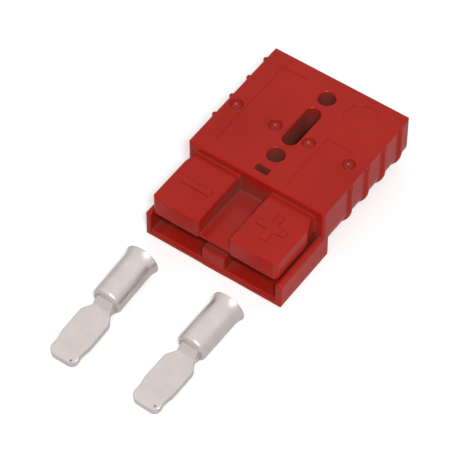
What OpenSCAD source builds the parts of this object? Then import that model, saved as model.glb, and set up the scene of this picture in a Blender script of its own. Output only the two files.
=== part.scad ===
// Genderless two-pole power connector. Two equal housings mate face to face, one of them turned
// over about the mating plane at half height. Each pole has a leaf spring that presses the flat
// blade of its crimp contact against the blade of the mate. The two contacts lie in front of the
// housing, as they come with it before they are crimped to a cable and pushed in from the rear.
//
// +X runs across the poles, +Y from the mating front to the cable end and +Z up. The origin lies
// on the resting plane, in the middle of the width, under the front shoulder of the body.

/* [Housing] */
// Width across the side walls, without the grip ribs
housing_width = 55.9; // [53:0.1:62]
// Height of the housing; the mating plane lies at half of it
housing_height = 25.2; // [24:0.1:29]
// Length of the rear body, from its front shoulder to the cable end
body_length = 52.4; // [48:0.1:60]
// Spacing of the two poles, centre to centre
pole_spacing = 30.7; // [29:0.1:32]
// Radius on the long outer edges
edge_radius = 1.2; // [0.6:0.1:2]
// Radius on the upright corners of the body
corner_radius = 1.2; // [1:0.1:3]

/* [Front tray] */
// Reach of the tray in front of the shoulder
tray_reach = 25; // [22:0.1:28]
// Length over which the square tray runs on behind the shoulder
tray_tail = 3; // [1:0.1:6]
// Thickness of the tray floor
floor_thickness = 3.2; // [2.4:0.1:4]
// Thickness of the tray side walls
wall_thickness = 2.25; // [1.6:0.05:3]
// Depth of the tray walls below the mating plane
wall_drop = 0.8; // [0.4:0.1:2]
// Width of the divider between the two lower slots
divider_width = 9.2; // [7:0.1:10.5]
// Depth of the divider's top below the mating plane
divider_drop = 3.6; // [2.8:0.1:5]
// Radius on the upright front corners of the tray
tray_corner = 0.8; // [0.6:0.1:2]
// Width of the chamfer on the front edge of the tray floor
floor_chamfer = 0.8; // [0.4:0.1:1.5]
// Set-back of the divider from the tray's front
divider_setback = 0.4; // [0.2:0.1:2]

/* [Tongues] */
// Distance from the centre line to the inner side of a tongue
tongue_inner = 6.2; // [5.8:0.1:7]
// Thickness of the tongue above the spring
tongue_roof = 2.2; // [1.6:0.1:3]
// Thickness of the tongue's front wall
tongue_front = 2.2; // [1.6:0.1:3]
// Thickness of the web that joins the tongues
web_thickness = 1.3; // [0.8:0.1:1.6]
// Set-back of the web's front edge from the tongue tips
web_setback = 0.4; // [0.2:0.1:2]
// Radius on the top edges of a tongue
tongue_edge = 1; // [0.4:0.1:1.6]
// Radius on the outer front corner of a tongue
tongue_corner = 1.8; // [1:0.1:2.4]
// Radius on the web's front edge
web_edge = 0.5; // [0.2:0.05:0.6]
// Length of the narrow root of a tongue
root_length = 2.1; // [1:0.1:4]
// Length over which a tongue widens from its root
root_taper = 4.1; // [2:0.1:8]
// Amount by which a tongue is narrower at its root
root_narrowing = 1.3; // [0.6:0.1:2]

/* [Fit with the mate] */
// Gap between the tongue's top and the mate's tray floor
shelf_gap = 0.4; // [0.2:0.05:0.8]
// Gap between the tongue's underside and the mating plane
plane_gap = 0.4; // [0.2:0.05:0.8]
// Gap between a tongue's outer side and the mate's tray wall
side_gap = 0.2; // [0.1:0.05:0.5]
// Gap between a tongue's tip and the mate's shoulder
tip_gap = 0.7; // [0.3:0.1:1.5]

/* [Cable entries] */
// Radius of the round cable entries at the rear
entry_radius = 9.2; // [8.4:0.1:9.8]
// Distance from the shoulder to the closed end of a cable entry
entry_start = 8; // [7:0.1:12]
// Width of the chamfer round the mouth of an entry
entry_chamfer = 1; // [0.4:0.1:1.4]

/* [Mounting holes] */
// Radius of the two mounting holes
mount_radius = 3.175; // [2.6:0.025:3.3]
// Spacing of the two mounting holes along the length
mount_spacing = 30.7; // [28:0.1:34]
// Distance from the shoulder to the middle of the mounting holes
mount_middle = 27.5; // [25:0.1:30]
// Width of the chamfer on the mounting holes
mount_chamfer = 0.4; // [0.2:0.1:0.8]
// Width of the chamfer on the slot between the mounting holes
slot_chamfer = 0.4; // [0.2:0.1:0.8]
// Width of the slot between the mounting holes
slot_width = 5.8; // [4:0.1:6.4]
// Length of the slot between the mounting holes, end to end
slot_length = 19; // [12:0.1:20]
// Width of the small pocket near the shoulder
pocket_width = 5.4; // [3:0.1:6]
// Length of the small pocket near the shoulder
pocket_length = 2.9; // [2:0.1:4]
// Distance from the shoulder to the front of the small pocket
pocket_start = 2.7; // [2:0.1:3.5]
// Depth of the small pocket
pocket_depth = 12; // [4:0.5:14]

/* [Grip ribs and recesses] */
// Number of grip ribs on each side
rib_count = 4; // [2:1:5]
// Spacing of the ribs
rib_pitch = 10.25; // [7:0.05:11]
// Distance from the shoulder to the middle of the first rib
rib_start = 15.7; // [10:0.1:17]
// Radius of the round section of a rib
rib_radius = 1; // [0.8:0.05:1.5]
// Height of a rib above the side wall
rib_height = 1; // [0.4:0.05:1.2]
// Radius on which a rib runs out round the lower body
rib_curve = 12.1; // [9:0.1:12.4]
// Distance from the top face down to the top of the ribs
rib_top_drop = 0.5; // [0.2:0.1:2]
// Depth of the bare label panels
panel_depth = 0.35; // [0.2:0.05:0.6]
// Distance from the centre line to the inner edge of a panel
panel_inner = 10.1; // [9:0.1:11]
// Width of a label panel
panel_width = 10.6; // [6:0.1:12]
// Distance from the shoulder to the front of the long left panel
left_panel_start = 5.7; // [4:0.1:8]
// Length of the long left panel
left_panel_length = 40.7; // [20:0.1:42]
// Distance from the shoulder to the front of the short right panel
right_panel_start = 3; // [2.5:0.1:6]
// Length of the short right panel
right_panel_length = 25; // [15:0.1:28]
// Radius of the round panel behind the right panel
disc_radius = 6.4; // [4:0.1:6.8]
// Distance from the centre line to the middle of the round panel
disc_across = 14.7; // [13:0.1:17]
// Distance from the shoulder to the middle of the round panel
disc_along = 41.8; // [40:0.1:44]
// Radius of a gate dimple at the top face
dimple_radius = 2.5; // [1.5:0.1:3]
// Depth of a gate dimple
dimple_depth = 2.3; // [0.8:0.1:2.4]
// Radius of the moulding nub in a gate dimple
nub_radius = 0.6; // [0.4:0.1:1]
// Distance from the centre line to the middle of a pair of dimples
dimple_across = 15; // [14:0.1:16]
// Spacing of the two dimples of a pair
dimple_spacing = 16.3; // [14:0.1:17]
// Offset of the whole row of dimples across the housing
dimple_offset = -0.7; // [-1:0.1:1]
// Distance from the shoulder to the row of dimples
dimple_along = 22.7; // [21:0.1:25]

/* [Contacts] */
// Length of a contact from blade tip to barrel mouth
contact_length = 46.2; // [42:0.1:50]
// Outer radius of the crimp barrel
barrel_radius = 5.6; // [5:0.05:6]
// Wall thickness of the crimp barrel
barrel_wall = 1.2; // [0.8:0.05:1.6]
// Length of the barrel from its mouth to its closed end
barrel_length = 21; // [18:0.1:24]
// Length of the flared mouth
flare_length = 3.6; // [2:0.1:5]
// Growth of the radius at the flared mouth
flare_growth = 0.75; // [0.4:0.05:1.2]
// Radius on the closed end of the barrel
shoulder_radius = 1.4; // [0.8:0.1:2.2]
// Width of the neck between barrel and blade
neck_width = 6.7; // [5:0.1:8]
// Depth of the neck below the blade's flat face
neck_depth = 3.4; // [2.8:0.1:4]
// Height of the neck above the blade's flat face
neck_rise = 2.6; // [1.6:0.1:3.4]
// Length of the slope from the neck down to the blade
neck_slope = 2.4; // [1.5:0.1:4]
// Length over which the blade widens from the neck
blade_shoulder = 5.2; // [3:0.1:8]
// Radius on the corners of the tip
tip_corner = 2.6; // [0.8:0.1:3]
// Height of the blade's flat face above the barrel's axis
blade_rise = -0.5; // [-0.8:0.1:0.5]
// Width of the blade
blade_width = 11.6; // [10:0.1:12.2]
// Thickness of the blade
blade_thickness = 2.4; // [1.6:0.1:3]
// Length of the blade, with its tip
blade_length = 23.7; // [19:0.1:24.5]
// Depth of the shallow waist behind the tip, on each side
waist_depth = 0.6; // [0.3:0.1:1.2]
// Length of the bent tip
tip_length = 4.6; // [3:0.1:7]
// Drop of the bent tip
tip_drop = 1; // [0.4:0.1:2.5]
// Place of the left contact's barrel mouth
left_contact_place = [-18.9, -38.9]; // [-60:0.1:60]
// Turn of the left contact
left_contact_turn = 0.4; // [-10:0.1:10]
// Place of the right contact's barrel mouth
right_contact_place = [16.1, -38.2]; // [-60:0.1:60]
// Turn of the right contact
right_contact_turn = -1.9; // [-10:0.1:10]

/* [Leaf springs] */
// Thickness of a leaf spring
spring_thickness = 0.8; // [0.5:0.1:1]
// Length of a spring's flat front end
spring_front_tab = 2.4; // [1.5:0.1:4]
// Length of a spring's flat rear end
spring_rear_tab = 5; // [3:0.1:6]
// Side clearance of spring and blade in the tongue
guide_gap = 0.3; // [0.15:0.05:0.4]
// Distance by which the contact's blade lifts the spring
spring_preload = 0.5; // [0.2:0.1:1]

/* [Hidden] */
$fn = 64;
cut = 1;

plastic = "firebrick";
spring_steel = "lightsteelblue";
tin_plate = "gainsboro";

half_width = housing_width / 2;
mating_plane = housing_height / 2;
pole_x = pole_spacing / 2;
lobe_x = half_width - mating_plane;
rib_half_width = half_width + rib_height;
rib_top = housing_height - rib_top_drop;

tray_height = mating_plane - wall_drop;
divider_height = mating_plane - divider_drop;
slot_half_width = half_width - wall_thickness;

tongue_bottom = mating_plane + plane_gap;
tongue_top = housing_height - floor_thickness - shelf_gap;
tongue_outer = slot_half_width - side_gap;
tongue_reach = tray_reach - tip_gap;
web_reach = tongue_reach - web_setback;
web_top = tongue_bottom + web_thickness;

guide_width = blade_width + 2 * guide_gap;
guide_roof = tongue_top - tongue_roof;
guide_front = tongue_front - tongue_reach;
window_bottom = mating_plane - neck_depth - guide_gap;

slot_radius = slot_width / 2;
slot_straight = slot_length - slot_width;
dish_radius = (dimple_radius * dimple_radius + dimple_depth * dimple_depth) / (2 * dimple_depth);

spring_width = blade_width;
spring_front = guide_front + guide_gap;
spring_rear = entry_start - guide_gap;
bow_front = spring_front + spring_front_tab;
bow_rear = spring_rear - spring_rear_tab;
bow_half = (bow_rear - bow_front) / 2;
bow_middle = (bow_rear + bow_front) / 2;
bow_crest = mating_plane + blade_thickness - spring_preload;
bow_sag = guide_roof - spring_thickness - bow_crest;
bow_radius = (bow_half * bow_half + bow_sag * bow_sag) / (2 * bow_sag);

flare_radius = (flare_length * flare_length + flare_growth * flare_growth) / (2 * flare_growth);
flare_angle = asin(flare_length / flare_radius);
bore_radius = barrel_radius - barrel_wall;
bore_end = barrel_length - barrel_wall;
neck_start = barrel_length - barrel_wall / 2;
shoulder_start = barrel_length - shoulder_radius;
curve_steps = 12;
lay_run = contact_length - shoulder_start;
lay_rise = barrel_radius - shoulder_radius - blade_thickness - tip_drop + blade_rise;
lay_angle = asin(shoulder_radius / norm([lay_run, lay_rise])) + atan2(lay_rise, lay_run);
lay_lift = (barrel_radius - shoulder_radius) * cos(lay_angle) + shoulder_start * sin(lay_angle)
    + shoulder_radius;

// A rectangle with its corners rounded, from its lowest corner to its highest.
module rounded_box(low, high, radius) {
    size = high - low;
    translate(low + [radius, 0])
        square([size[0] - 2 * radius, size[1]]);
    translate(low + [0, radius])
        square([size[0], size[1] - 2 * radius]);
    for (x = [low[0] + radius, high[0] - radius], y = [low[1] + radius, high[1] - radius])
        translate([x, y])
            circle(radius);
}

// Carries an outline drawn in X and Z along Y, from one place to another.
module along_y(start, end) {
    translate([0, end, 0])
        rotate([90, 0, 0])
            linear_extrude(end - start)
                children();
}

// Carries an outline drawn in Y and Z along X, from one place to another.
module along_x(start, end) {
    translate([start, 0, 0])
        rotate([90, 0, 90])
            linear_extrude(end - start)
                children();
}

module mirror_copy() {
    children();
    mirror([1, 0, 0])
        children();
}

// Cross section of the body: square shoulders above, round flanks below.
module body_outline() {
    translate([-half_width, mating_plane])
        square([housing_width, mating_plane - edge_radius]);
    translate([edge_radius - half_width, mating_plane])
        square([housing_width - 2 * edge_radius, mating_plane]);
    for (side = [-1, 1])
        translate([side * (half_width - edge_radius), housing_height - edge_radius])
            circle(edge_radius);
    intersection() {
        union() {
            for (side = [-1, 1])
                translate([side * lobe_x, mating_plane])
                    circle(mating_plane, $fn = 128);
            translate([-lobe_x, 0])
                square([2 * lobe_x, mating_plane]);
        }
        translate([-half_width, 0])
            square([housing_width, mating_plane]);
    }
}

module rear_body() {
    intersection() {
        along_y(0, body_length)
            body_outline();
        linear_extrude(housing_height)
            rounded_box([-half_width, 0], [half_width, body_length], corner_radius);
        along_x(-half_width, half_width)
            rounded_box([0, 0], [body_length, housing_height], edge_radius);
    }
}

// A rib of round section: straight down the upper flank, then in on a curve under the lower one.
module grip_rib() {
    translate([rib_half_width - rib_radius, 0, mating_plane]) {
        cylinder(h = rib_top - rib_radius - mating_plane, r = rib_radius);
        translate([0, 0, rib_top - rib_radius - mating_plane])
            sphere(rib_radius);
    }
    translate([rib_half_width - rib_curve, 0, mating_plane])
        rotate([-90, 0, 0])
            rotate_extrude(angle = 90)
                translate([rib_curve - rib_radius, 0])
                    circle(rib_radius);
}

module grip_ribs() {
    for (i = [0 : rib_count - 1])
        translate([0, rib_start + i * rib_pitch, 0])
            mirror_copy()
                grip_rib();
}

// The lower hood: a floor and two side walls, square right down to the resting plane.
module tray() {
    difference() {
        intersection() {
            along_y(-tray_reach, 0)
                rounded_box([-half_width, 0], [half_width, tray_height], edge_radius);
            linear_extrude(tray_height)
                rounded_box([-half_width, -tray_reach], [half_width, tray_tail], tray_corner);
            along_x(-half_width, half_width)
                rounded_box([-tray_reach, 0], [tray_tail, tray_height], edge_radius);
        }
        translate([-slot_half_width, -tray_reach - cut, floor_thickness])
            cube([2 * slot_half_width, tray_reach + cut, tray_height]);
        along_x(-slot_half_width, slot_half_width)
            polygon([
                [-tray_reach - cut, floor_thickness - floor_chamfer - cut],
                [floor_chamfer - tray_reach + cut, floor_thickness + cut],
                [-tray_reach - cut, floor_thickness + cut]
            ]);
    }
    translate([-divider_width / 2, divider_setback - tray_reach, 0])
        cube([divider_width, tray_reach - divider_setback, divider_height]);
}

// The square flanks of the tray run on behind the shoulder up to the mating plane.
module tray_tail_block() {
    along_y(0, tray_tail)
        intersection() {
            rounded_box([-half_width, 0], [half_width, housing_height], edge_radius);
            translate([-half_width, 0])
                square([housing_width, mating_plane]);
        }
}

module tongue() {
    root_outer = tongue_outer - root_narrowing;
    intersection() {
        translate([0, 0, tongue_bottom])
            linear_extrude(tongue_top - tongue_bottom)
                intersection() {
                    rounded_box([tongue_inner, -tongue_reach], [tongue_outer, body_length], tongue_edge);
                    rounded_box([-tongue_outer, -tongue_reach], [tongue_outer, body_length], tongue_corner);
                    polygon([
                        [tongue_inner, cut],
                        [tongue_inner, -tongue_reach],
                        [tongue_outer, -tongue_reach],
                        [tongue_outer, -root_length - root_taper],
                        [root_outer, -root_length],
                        [root_outer, cut]
                    ]);
                }
        along_y(-tongue_reach, cut)
            rounded_box([tongue_inner, 0], [tongue_outer, tongue_top], tongue_edge);
        along_x(tongue_inner, tongue_outer)
            rounded_box([-tongue_reach, 0], [body_length, tongue_top], tongue_edge);
    }
}

module web() {
    reach = tongue_inner + cut;
    along_x(-reach, reach)
        rounded_box([-web_reach, tongue_bottom], [cut, web_top], web_edge);
}

// What a contact passes through: the round cable entry, and the guide that runs on from it
// through the shoulder into the tongue, open below so that the blade meets the blade of the mate.
module pole_cavity() {
    translate([pole_x, entry_start, mating_plane])
        rotate([-90, 0, 0])
            cylinder(h = body_length - entry_start + cut, r = entry_radius);
    translate([pole_x, body_length - entry_chamfer, mating_plane])
        rotate([-90, 0, 0])
            cylinder(h = 2 * entry_chamfer, r1 = entry_radius, r2 = entry_radius + 2 * entry_chamfer);
    translate([pole_x - guide_width / 2, guide_front, window_bottom])
        cube([guide_width, entry_start + cut - guide_front, guide_roof - window_bottom]);
}

// A round hole through the full height with both its mouths chamfered.
module round_hole(radius, chamfer) {
    flare = radius + 2 * chamfer;
    translate([0, 0, -cut])
        cylinder(h = housing_height + 2 * cut, r = radius);
    translate([0, 0, -chamfer])
        cylinder(h = 2 * chamfer, r1 = flare, r2 = radius);
    translate([0, 0, housing_height - chamfer])
        cylinder(h = 2 * chamfer, r1 = radius, r2 = flare);
}

// The slot is two such holes with a straight stretch between them.
module centre_slot() {
    flare = slot_radius + 2 * slot_chamfer;
    for (side = [-1, 1])
        translate([0, side * slot_straight / 2, 0])
            round_hole(slot_radius, slot_chamfer);
    along_y(-slot_straight / 2, slot_straight / 2) {
        translate([-slot_radius, -cut])
            square([slot_width, housing_height + 2 * cut]);
        for (face = [0, housing_height], outward = face == 0 ? -1 : 1)
            polygon([
                [-flare, face + outward * slot_chamfer],
                [flare, face + outward * slot_chamfer],
                [slot_radius, face - outward * slot_chamfer],
                [-slot_radius, face - outward * slot_chamfer]
            ]);
    }
}

module centre_line_holes() {
    for (side = [-1, 1])
        translate([0, mount_middle + side * mount_spacing / 2, 0])
            round_hole(mount_radius, mount_chamfer);
    translate([0, mount_middle, 0])
        centre_slot();
    translate([-pocket_width / 2, pocket_start, housing_height - pocket_depth])
        cube([pocket_width, pocket_length, pocket_depth + cut]);
}

// Shallow panels that are sunk into the top face and bear nothing.
module label_panels() {
    translate([0, 0, housing_height - panel_depth]) {
        translate([-panel_inner - panel_width, left_panel_start, 0])
            cube([panel_width, left_panel_length, cut]);
        translate([panel_inner, right_panel_start, 0])
            cube([panel_width, right_panel_length, cut]);
        translate([disc_across, disc_along, 0])
            cylinder(h = cut, r = disc_radius);
    }
}

module at_dimples() {
    for (pair = [-1, 1], side = [-1, 1])
        translate([
            dimple_offset + pair * dimple_across + side * dimple_spacing / 2,
            dimple_along,
            housing_height
        ])
            children();
}

module housing() {
    color(plastic) {
        difference() {
            union() {
                rear_body();
                grip_ribs();
                tray();
                tray_tail_block();
                mirror_copy()
                    tongue();
                web();
            }
            mirror_copy()
                pole_cavity();
            centre_line_holes();
            label_panels();
            at_dimples()
                translate([0, 0, dish_radius - dimple_depth])
                    sphere(dish_radius);
        }
        at_dimples()
            translate([0, 0, -dimple_depth])
                sphere(nub_radius, $fn = 32);
    }
}

module leaf_spring() {
    color(spring_steel)
        along_x(pole_x - spring_width / 2, pole_x + spring_width / 2) {
            translate([spring_front, guide_roof - spring_thickness])
                square([spring_front_tab, spring_thickness]);
            translate([bow_rear, guide_roof - spring_thickness])
                square([spring_rear_tab, spring_thickness]);
            intersection() {
                translate([bow_middle, bow_crest + bow_radius])
                    difference() {
                        circle(bow_radius, $fn = 180);
                        circle(bow_radius - spring_thickness, $fn = 180);
                    }
                translate([bow_front, bow_crest])
                    square([bow_rear - bow_front, guide_roof - bow_crest]);
            }
        }
}

// Turned outline of the barrel: radius from the axis, then distance from the mouth.
function flare_curve(radius) = [
    for (i = [0 : curve_steps])
        let (a = flare_angle * i / curve_steps)
            [radius + flare_radius * (1 - cos(a)), flare_length - flare_radius * sin(a)]
];

function shoulder_curve() = [
    for (i = [0 : curve_steps])
        let (a = 90 * i / curve_steps)
            [barrel_radius - shoulder_radius * (1 - cos(a)), shoulder_start + shoulder_radius * sin(a)]
];

function reversed(list) = [for (i = [len(list) - 1 : -1 : 0]) list[i]];

module barrel() {
    rotate([90, 0, 0])
        rotate_extrude()
            polygon(concat(
                [[0, bore_end], [bore_radius, bore_end]],
                flare_curve(bore_radius),
                reversed(flare_curve(barrel_radius)),
                shoulder_curve(),
                [[0, barrel_length]]
            ));
}

// A smooth step from 0 to 1.
function ease(t) = (1 - cos(180 * max(0, min(1, t)))) / 2;

// Half the width of neck and blade at a distance from the tip.
function half_blade(s) =
    let (waist = waist_depth * ease(1 - abs(s - tip_length) / tip_length))
    let (neck = (blade_width - neck_width) / 2 * ease(1 - (blade_length - s) / blade_shoulder))
        blade_width / 2 - waist - neck;

module blade_plan() {
    steps = 4 * curve_steps;
    side = [
        for (i = [0 : steps])
            let (s = tip_corner + (blade_length - tip_corner) * i / steps)
                [half_blade(s), s - contact_length]
    ];
    corner = [
        for (i = [0 : curve_steps / 3])
            let (a = 90 * i * 3 / curve_steps)
                [half_blade(tip_corner) - tip_corner * (1 - sin(a)), tip_corner * (1 - cos(a)) - contact_length]
    ];
    half = concat(corner, side, [[neck_width / 2, -neck_start]]);
    polygon(concat(half, reversed([for (p = half) [-p[0], p[1]]])));
}

// Side view of neck and blade, drawn from the level of the blade's flat upper face.
module blade_side() {
    bend = [
        for (i = [0 : curve_steps])
            let (t = 1 - i / curve_steps)
                [tip_length * (1 - t) - contact_length, -tip_drop * t * t]
    ];
    top = concat(bend, [
        [-barrel_length - neck_slope, 0],
        [-barrel_length, neck_rise],
        [-neck_start, neck_rise]
    ]);
    under = concat([for (p = bend) [p[0], p[1] - blade_thickness]], [
        [blade_length - contact_length, -blade_thickness],
        [-barrel_length, -neck_depth],
        [-neck_start, -neck_depth]
    ]);
    polygon(concat(top, reversed(under)));
}

module blade() {
    intersection() {
        translate([0, 0, -barrel_radius])
            linear_extrude(2 * barrel_radius)
                blade_plan();
        translate([0, 0, blade_rise])
            along_x(-blade_width, blade_width)
                blade_side();
    }
}

// A contact as it lies on the surface, on the front of its barrel and the edge of its tip.
module contact(place, turn) {
    color(tin_plate)
        translate([place[0], place[1], lay_lift])
            rotate([0, 0, turn])
                rotate([lay_angle, 0, 0]) {
                    barrel();
                    blade();
                }
}

module left_leaf_spring() {
    mirror([1, 0, 0])
        leaf_spring();
}

module right_leaf_spring() {
    leaf_spring();
}

module left_contact() {
    contact(left_contact_place, left_contact_turn);
}

module right_contact() {
    contact(right_contact_place, right_contact_turn);
}

housing();
left_leaf_spring();
right_leaf_spring();
left_contact();
right_contact();
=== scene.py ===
import bmesh
import bpy
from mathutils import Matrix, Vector


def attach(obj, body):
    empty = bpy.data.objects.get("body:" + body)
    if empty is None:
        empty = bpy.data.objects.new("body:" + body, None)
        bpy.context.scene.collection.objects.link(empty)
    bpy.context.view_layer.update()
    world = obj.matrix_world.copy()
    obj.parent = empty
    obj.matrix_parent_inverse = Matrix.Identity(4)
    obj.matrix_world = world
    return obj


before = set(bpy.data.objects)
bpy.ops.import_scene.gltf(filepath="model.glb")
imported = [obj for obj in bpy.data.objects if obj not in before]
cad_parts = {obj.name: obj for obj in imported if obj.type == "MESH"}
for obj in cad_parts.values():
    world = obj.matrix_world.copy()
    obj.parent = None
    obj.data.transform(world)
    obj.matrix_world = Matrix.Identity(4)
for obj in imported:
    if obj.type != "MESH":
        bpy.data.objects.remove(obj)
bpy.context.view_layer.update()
print("frame loaded:", ", ".join(sorted(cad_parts)))

mm = 0.001

# The part of a noise's range that its looks are spread over.
noiseLow, noiseHigh = 0.3, 0.7


# ---- shader helpers

def newMaterial(name):
    material = bpy.data.materials.new(name)
    material.use_nodes = True
    nodes = material.node_tree.nodes
    return material, nodes, material.node_tree.links, nodes["Principled BSDF"]


def addNoise(nodes, links, place, scale, detail=3.0, roughness=0.5):
    noise = nodes.new("ShaderNodeTexNoise")
    noise.inputs["Scale"].default_value = scale
    noise.inputs["Detail"].default_value = detail
    noise.inputs["Roughness"].default_value = roughness
    links.new(place, noise.inputs["Vector"])
    return noise.outputs["Fac"]


def addRamp(nodes, links, value, lowColour, highColour):
    ramp = nodes.new("ShaderNodeValToRGB")
    stops = (noiseLow, lowColour), (noiseHigh, highColour)
    for element, (position, colour) in zip(ramp.color_ramp.elements, stops):
        element.position = position
        element.color = (*colour, 1)
    links.new(value, ramp.inputs["Fac"])
    return ramp.outputs["Color"]


def addRange(nodes, links, value, fromLow, fromHigh, toLow, toHigh):
    remap = nodes.new("ShaderNodeMapRange")
    for socket, number in zip(("From Min", "From Max", "To Min", "To Max"),
                              (fromLow, fromHigh, toLow, toHigh)):
        remap.inputs[socket].default_value = number
    links.new(value, remap.inputs["Value"])
    return remap.outputs["Result"]


def addBump(nodes, links, height, distance, strength, normal=None):
    bump = nodes.new("ShaderNodeBump")
    bump.inputs["Distance"].default_value = distance
    bump.inputs["Strength"].default_value = strength
    links.new(height, bump.inputs["Height"])
    if normal is not None:
        links.new(normal, bump.inputs["Normal"])
    return bump.outputs["Normal"]


def addMath(nodes, links, kind, first, second):
    step = nodes.new("ShaderNodeMath")
    step.operation = kind
    for socket, value in zip(step.inputs, (first, second)):
        if isinstance(value, (int, float)):
            socket.default_value = value
        else:
            links.new(value, socket)
    return step.outputs[0]


def addVectorMath(nodes, links, kind, value, vector):
    step = nodes.new("ShaderNodeVectorMath")
    step.operation = kind
    links.new(value, step.inputs[0])
    step.inputs[1].default_value = vector
    return step.outputs


def addColourMix(nodes, links, share, under, over):
    blend = nodes.new("ShaderNodeMix")
    blend.data_type = "RGBA"
    links.new(share, blend.inputs["Factor"])
    links.new(under, blend.inputs["A"])
    blend.inputs["B"].default_value = (*over, 1)
    return blend.outputs["Result"]


def addShaderMix(nodes, links, share, under, over):
    pick = nodes.new("ShaderNodeMixShader")
    links.new(share, pick.inputs["Fac"])
    links.new(under, pick.inputs[1])
    links.new(over, pick.inputs[2])
    return pick.outputs[0]


# ---- moulded red plastic of the housing

plastic = {
    "deepRed": (0.370, 0.0080, 0.0030),
    "warmRed": (0.430, 0.0125, 0.0050),
    # Painted shade in recesses: the brown, the occlusion reach, and the open and shut limits of its
    # mix.
    "paintedShadeBrown": (0.300, 0.0700, 0.0550),
    "paintedShadeReach": 16 * mm,
    "paintedShadeOpen": 0.65,
    "paintedShadeShut": 0.1,
    "samples": 8,
    "refraction": 1.5,
    "shine": 0.25,
    "roughness": (0.20, 0.30),
    "fineEdge": 0.25 * mm,
    "broadEdge": 0.9 * mm,
    "topFace": 22.1 * mm,
    "topHalfWidth": 26.4 * mm,
    "grainScale": 2600,
    "grainDetail": 2,
    "grainDepth": 0.02 * mm,
    "grainStrength": 0.25,
    "flowScale": 38,
    "flowDetail": 4,
    "flowRoughness": 0.55,
    "flowDepth": 0.25 * mm,
    "flowStrength": 0.15,
}


# Crisp edges within the top face, broad soft ones on the tongues, the tray and the outer rim.
def addEdgeRadius(nodes, links):
    place = nodes.new("ShaderNodeSeparateXYZ")
    links.new(nodes.new("ShaderNodeNewGeometry").outputs["Position"], place.inputs[0])
    onTop = addMath(nodes, links, "GREATER_THAN", place.outputs["Z"], plastic["topFace"])
    across = addMath(nodes, links, "ABSOLUTE", place.outputs["X"], 0)
    inside = addMath(nodes, links, "LESS_THAN", across, plastic["topHalfWidth"])
    fine = addMath(nodes, links, "MULTIPLY", onTop, inside)
    return addRange(nodes, links, fine, 0, 1, plastic["broadEdge"], plastic["fineEdge"])


def makePlastic():
    material, nodes, links, shader = newMaterial("mouldedRedPlastic")
    place = nodes.new("ShaderNodeTexCoord").outputs["Object"]
    flow = addNoise(nodes, links, place, plastic["flowScale"],
                    plastic["flowDetail"], plastic["flowRoughness"])
    red = addRamp(nodes, links, flow, plastic["deepRed"], plastic["warmRed"])
    # Painted shade: where ambient occlusion closes in, the base colour is mixed toward a dull
    # brown, standing in for the dim shade in recesses and corners.
    shade = nodes.new("ShaderNodeAmbientOcclusion")
    shade.samples = plastic["samples"]
    shade.only_local = True
    shade.inputs["Distance"].default_value = plastic["paintedShadeReach"]
    paintedShadeShare = addRange(nodes, links, shade.outputs["AO"],
                     plastic["paintedShadeOpen"], plastic["paintedShadeShut"], 0, 1)
    links.new(addColourMix(nodes, links, paintedShadeShare, red, plastic["paintedShadeBrown"]),
              shader.inputs["Base Color"])
    links.new(addRange(nodes, links, flow, noiseLow, noiseHigh, *plastic["roughness"]),
              shader.inputs["Roughness"])
    shader.inputs["IOR"].default_value = plastic["refraction"]
    shader.inputs["Specular IOR Level"].default_value = plastic["shine"]
    edges = nodes.new("ShaderNodeBevel")
    edges.samples = plastic["samples"]
    links.new(addEdgeRadius(nodes, links), edges.inputs["Radius"])
    grain = addNoise(nodes, links, place, plastic["grainScale"], plastic["grainDetail"])
    grained = addBump(nodes, links, grain, plastic["grainDepth"], plastic["grainStrength"],
                      edges.outputs["Normal"])
    links.new(addBump(nodes, links, flow, plastic["flowDepth"], plastic["flowStrength"], grained),
              shader.inputs["Normal"])
    return material


redPlastic = makePlastic()
print("plastic ready")


# ---- tin plate of the crimp contacts

tinPlate = {
    "pale": (0.880, 0.800, 0.772),
    "dull": (0.790, 0.714, 0.683),
    # Painted shade: dark colour for the hollow of the punched dimples.
    "paintedPunchShade": (0.30, 0.23, 0.20),
    "punchPlaces": [(-15.1 * mm, -83.9 * mm), (18.3 * mm, -82.7 * mm)],
    "punchRadius": 0.6 * mm,
    "punchCore": 0.2 * mm,
    "roughness": (0.26, 0.34),
    "edgeRadius": 0.5 * mm,
    "edgeSamples": 6,
    "cloudScale": 160,
    "cloudDetail": 5,
    "cloudRoughness": 0.6,
    "cloudDepth": 0.05 * mm,
    "cloudStrength": 0.12,
}


# Painted shade of a small punched dimple near the tip of each blade: a dark spot, with no dent
# modelled.
def addPaintedPunchShade(nodes, links, plate):
    where = nodes.new("ShaderNodeNewGeometry").outputs["Position"]
    for x, y in tinPlate["punchPlaces"]:
        offset = addVectorMath(nodes, links, "SUBTRACT", where, (x, y, 0))["Vector"]
        level = addVectorMath(nodes, links, "MULTIPLY", offset, (1, 1, 0))["Vector"]
        away = addVectorMath(nodes, links, "LENGTH", level, (0, 0, 0))["Value"]
        share = addRange(nodes, links, away, tinPlate["punchCore"], tinPlate["punchRadius"], 1, 0)
        plate = addColourMix(nodes, links, share, plate, tinPlate["paintedPunchShade"])
    return plate


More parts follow.
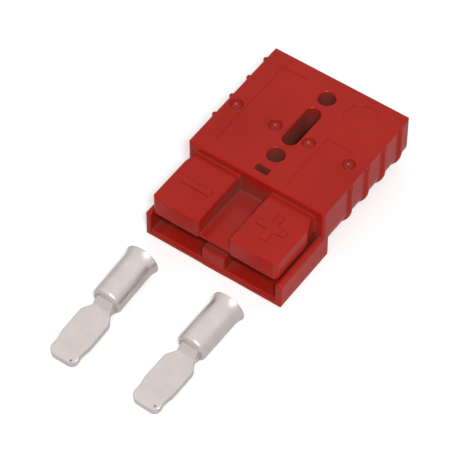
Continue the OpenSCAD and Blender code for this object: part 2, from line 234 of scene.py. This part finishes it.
def makeTinPlate():
    material, nodes, links, shader = newMaterial("tinPlatedCopper")
    place = nodes.new("ShaderNodeTexCoord").outputs["Object"]
    cloud = addNoise(nodes, links, place, tinPlate["cloudScale"],
                     tinPlate["cloudDetail"], tinPlate["cloudRoughness"])
    plate = addRamp(nodes, links, cloud, tinPlate["dull"], tinPlate["pale"])
    links.new(addPaintedPunchShade(nodes, links, plate), shader.inputs["Base Color"])
    smooth, rough = tinPlate["roughness"]
    links.new(addRange(nodes, links, cloud, noiseLow, noiseHigh, rough, smooth),
              shader.inputs["Roughness"])
    shader.inputs["Metallic"].default_value = 1
    edges = nodes.new("ShaderNodeBevel")
    edges.samples = tinPlate["edgeSamples"]
    edges.inputs["Radius"].default_value = tinPlate["edgeRadius"]
    links.new(addBump(nodes, links, cloud, tinPlate["cloudDepth"], tinPlate["cloudStrength"],
                      edges.outputs["Normal"]),
              shader.inputs["Normal"])
    return material


tinnedCopper = makeTinPlate()


# ---- bright strip of the leaf springs

strip = {
    "dark": (0.50, 0.51, 0.53),
    "bright": (0.64, 0.65, 0.67),
    "roughness": (0.22, 0.36),
    "grainStretch": (40, 1, 40),
    "grainScale": 90,
    "grainDepth": 0.01 * mm,
    "grainStrength": 0.3,
}


def makeSpringStrip():
    material, nodes, links, shader = newMaterial("rolledSpringStrip")
    place = nodes.new("ShaderNodeTexCoord").outputs["Object"]
    stretch = nodes.new("ShaderNodeMapping")
    stretch.inputs["Scale"].default_value = strip["grainStretch"]
    links.new(place, stretch.inputs["Vector"])
    drawn = addNoise(nodes, links, stretch.outputs["Vector"], strip["grainScale"])
    links.new(addRamp(nodes, links, drawn, strip["dark"], strip["bright"]),
              shader.inputs["Base Color"])
    links.new(addRange(nodes, links, drawn, noiseLow, noiseHigh, *strip["roughness"]),
              shader.inputs["Roughness"])
    shader.inputs["Metallic"].default_value = 1
    links.new(addBump(nodes, links, drawn, strip["grainDepth"], strip["grainStrength"]),
              shader.inputs["Normal"])
    return material


springStrip = makeSpringStrip()
print("metals ready")


def dress(node, material):
    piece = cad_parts[node]
    piece.data.materials.clear()
    piece.data.materials.append(material)


dress("housing", redPlastic)
for side in ("left", "right"):
    dress(side + "_contact", tinnedCopper)
    dress(side + "_leaf_spring", springStrip)


# ---- raised polarity marks on the tongues

marks = {
    "span": 11.8 * mm,
    "bar": 2.9 * mm,
    "height": 0.4 * mm,
    "sunk": 0.2 * mm,
    "corner": 0.6 * mm,
    "cornerSteps": 6,
    "edge": 0.3 * mm,
    "edgeSteps": 4,
    "across": 15.35 * mm,
    "along": -12.35 * mm,
    "tongueTop": 21.6 * mm,
    "tolerance": 0.0001 * mm,
    "leaning": 0.5,
    "level": 0.999,
}


def minusOutline():
    half, bar = marks["span"] / 2, marks["bar"] / 2
    return [(-half, -bar), (half, -bar), (half, bar), (-half, bar)]


def plusOutline():
    half, bar = marks["span"] / 2, marks["bar"] / 2
    return [(-bar, -half), (bar, -half), (bar, -bar), (half, -bar), (half, bar), (bar, bar),
            (bar, half), (-bar, half), (-bar, bar), (-half, bar), (-half, -bar), (-bar, -bar)]


def roundEdges(build, edges, radius, steps):
    bmesh.ops.bevel(build, geom=edges, offset=radius, segments=steps, affect="EDGES", profile=0.5)


# The edges where a side wall meets the mark's top face.
def rimEdges(build):
    level = marks["height"] - marks["tolerance"]
    return [e for e in build.edges
            if all(v.co.z > level for v in e.verts) and len(e.link_faces) == 2
            and any(abs(f.normal.z) < marks["leaning"] for f in e.link_faces)]


def makeMark(name, outline, across):
    build = bmesh.new()
    corners = [build.verts.new((x, y, -marks["sunk"])) for x, y in outline]
    rise = bmesh.ops.extrude_face_region(build, geom=[build.faces.new(corners)])
    top = [v for v in rise["geom"] if isinstance(v, bmesh.types.BMVert)]
    bmesh.ops.translate(build, verts=top, vec=(0, 0, marks["sunk"] + marks["height"]))
    upright = [e for e in build.edges if abs(e.verts[0].co.z - e.verts[1].co.z) > marks["sunk"]]
    roundEdges(build, upright, marks["corner"], marks["cornerSteps"])
    roundEdges(build, rimEdges(build), marks["edge"], marks["edgeSteps"])
    bmesh.ops.recalc_face_normals(build, faces=build.faces)
    for polygon in build.faces:
        polygon.smooth = abs(polygon.normal.z) < marks["level"]
    mesh = bpy.data.meshes.new(name)
    build.to_mesh(mesh)
    build.free()
    piece = bpy.data.objects.new(name, mesh)
    bpy.context.scene.collection.objects.link(piece)
    piece.location = (across, marks["along"], marks["tongueTop"])
    mesh.materials.append(redPlastic)
    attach(piece, "root")


makeMark("minusMark", minusOutline(), -marks["across"])
makeMark("plusMark", plusOutline(), marks["across"])
print("marks made")


# ---- floor, world and lamp

stage = {
    "floorSize": 8,
    "floorDrop": 0.02 * mm,
    "floorPaint": 0.76,
    "floorMirrored": 0.62,
    "floorGlow": 0.42,
    "room": 0.74,
    "backdrop": 1.0,
    "horizon": 0.70,
    "sky": 1.0,
    "skyStart": 0.65,
    "lampDirection": (0.40, -0.44, 0.80),
    "lampDistance": 0.9,
    "lampSize": 0.12,
    "lampPower": 3.5,
}


# A pale floor that takes the object's shadow; its glow shows to the camera alone.
def makeFloor():
    material = bpy.data.materials.new("paleFloor")
    material.use_nodes = True
    nodes, links = material.node_tree.nodes, material.node_tree.links
    nodes.clear()
    rays = nodes.new("ShaderNodeLightPath").outputs
    paint = nodes.new("ShaderNodeBsdfDiffuse")
    links.new(addRange(nodes, links, rays["Is Glossy Ray"], 0, 1,
                       stage["floorPaint"], stage["floorMirrored"]),
              paint.inputs["Color"])
    glow = nodes.new("ShaderNodeEmission")
    glow.inputs["Strength"].default_value = stage["floorGlow"]
    lit = nodes.new("ShaderNodeAddShader")
    links.new(paint.outputs[0], lit.inputs[0])
    links.new(glow.outputs[0], lit.inputs[1])
    output = nodes.new("ShaderNodeOutputMaterial")
    links.new(addShaderMix(nodes, links, rays["Is Camera Ray"], paint.outputs[0], lit.outputs[0]),
              output.inputs["Surface"])
    bpy.ops.mesh.primitive_plane_add(size=stage["floorSize"], location=(0, 0, -stage["floorDrop"]))
    floor = bpy.context.object
    floor.name = "floor"
    floor.data.materials.append(material)


def addBackground(nodes, strength):
    background = nodes.new("ShaderNodeBackground")
    background.inputs["Strength"].default_value = strength
    return background


# White behind the object, plain light on it, and a room that its mirrors see dimmer near the floor.
def makeWorld():
    world = bpy.data.worlds.new("softWhiteRoom")
    bpy.context.scene.world = world
    world.use_nodes = True
    nodes, links = world.node_tree.nodes, world.node_tree.links
    nodes.clear()
    rays = nodes.new("ShaderNodeLightPath").outputs
    room = addBackground(nodes, stage["room"])
    backdrop = addBackground(nodes, stage["backdrop"])
    mirrored = addBackground(nodes, stage["sky"])
    direction = nodes.new("ShaderNodeSeparateXYZ")
    links.new(nodes.new("ShaderNodeTexCoord").outputs["Generated"], direction.inputs[0])
    links.new(addRange(nodes, links, direction.outputs["Z"], 0, stage["skyStart"],
                       stage["horizon"], stage["sky"]),
              mirrored.inputs["Strength"])
    soft = addShaderMix(nodes, links, rays["Is Glossy Ray"], room.outputs[0], mirrored.outputs[0])
    seen = addMath(nodes, links, "MAXIMUM", rays["Is Camera Ray"], rays["Is Transmission Ray"])
    output = nodes.new("ShaderNodeOutputWorld")
    links.new(addShaderMix(nodes, links, seen, soft, backdrop.outputs[0]), output.inputs["Surface"])


def addLamp(name):
    lamp = bpy.data.lights.new(name, "AREA")
    lamp.shape = "DISK"
    lamp.size = stage["lampSize"]
    lamp.energy = stage["lampPower"]
    holder = bpy.data.objects.new(name, lamp)
    bpy.context.scene.collection.objects.link(holder)
    aim = Vector(stage["lampDirection"]).normalized()
    holder.location = aim * stage["lampDistance"]
    holder.rotation_euler = (-aim).to_track_quat("-Z", "Y").to_euler()


makeFloor()
makeWorld()
addLamp("nearLamp")


# ---- camera

camera = {
    "location": (0.33300, -0.48470, 0.74110),
    "aim": (-0.005336, -0.007220, 0),
    "lens": 215.94,
    "sensor": 36,
}


def makeCamera():
    lens = bpy.data.cameras.new("camera")
    lens.lens = camera["lens"]
    lens.sensor_width = camera["sensor"]
    holder = bpy.data.objects.new("camera", lens)
    bpy.context.scene.collection.objects.link(holder)
    holder.location = camera["location"]
    toward = Vector(camera["aim"]) - Vector(camera["location"])
    holder.rotation_euler = toward.to_track_quat("-Z", "Y").to_euler()
    bpy.context.scene.camera = holder


makeCamera()
bpy.context.scene.view_settings.view_transform = "Standard"
print("stage ready")
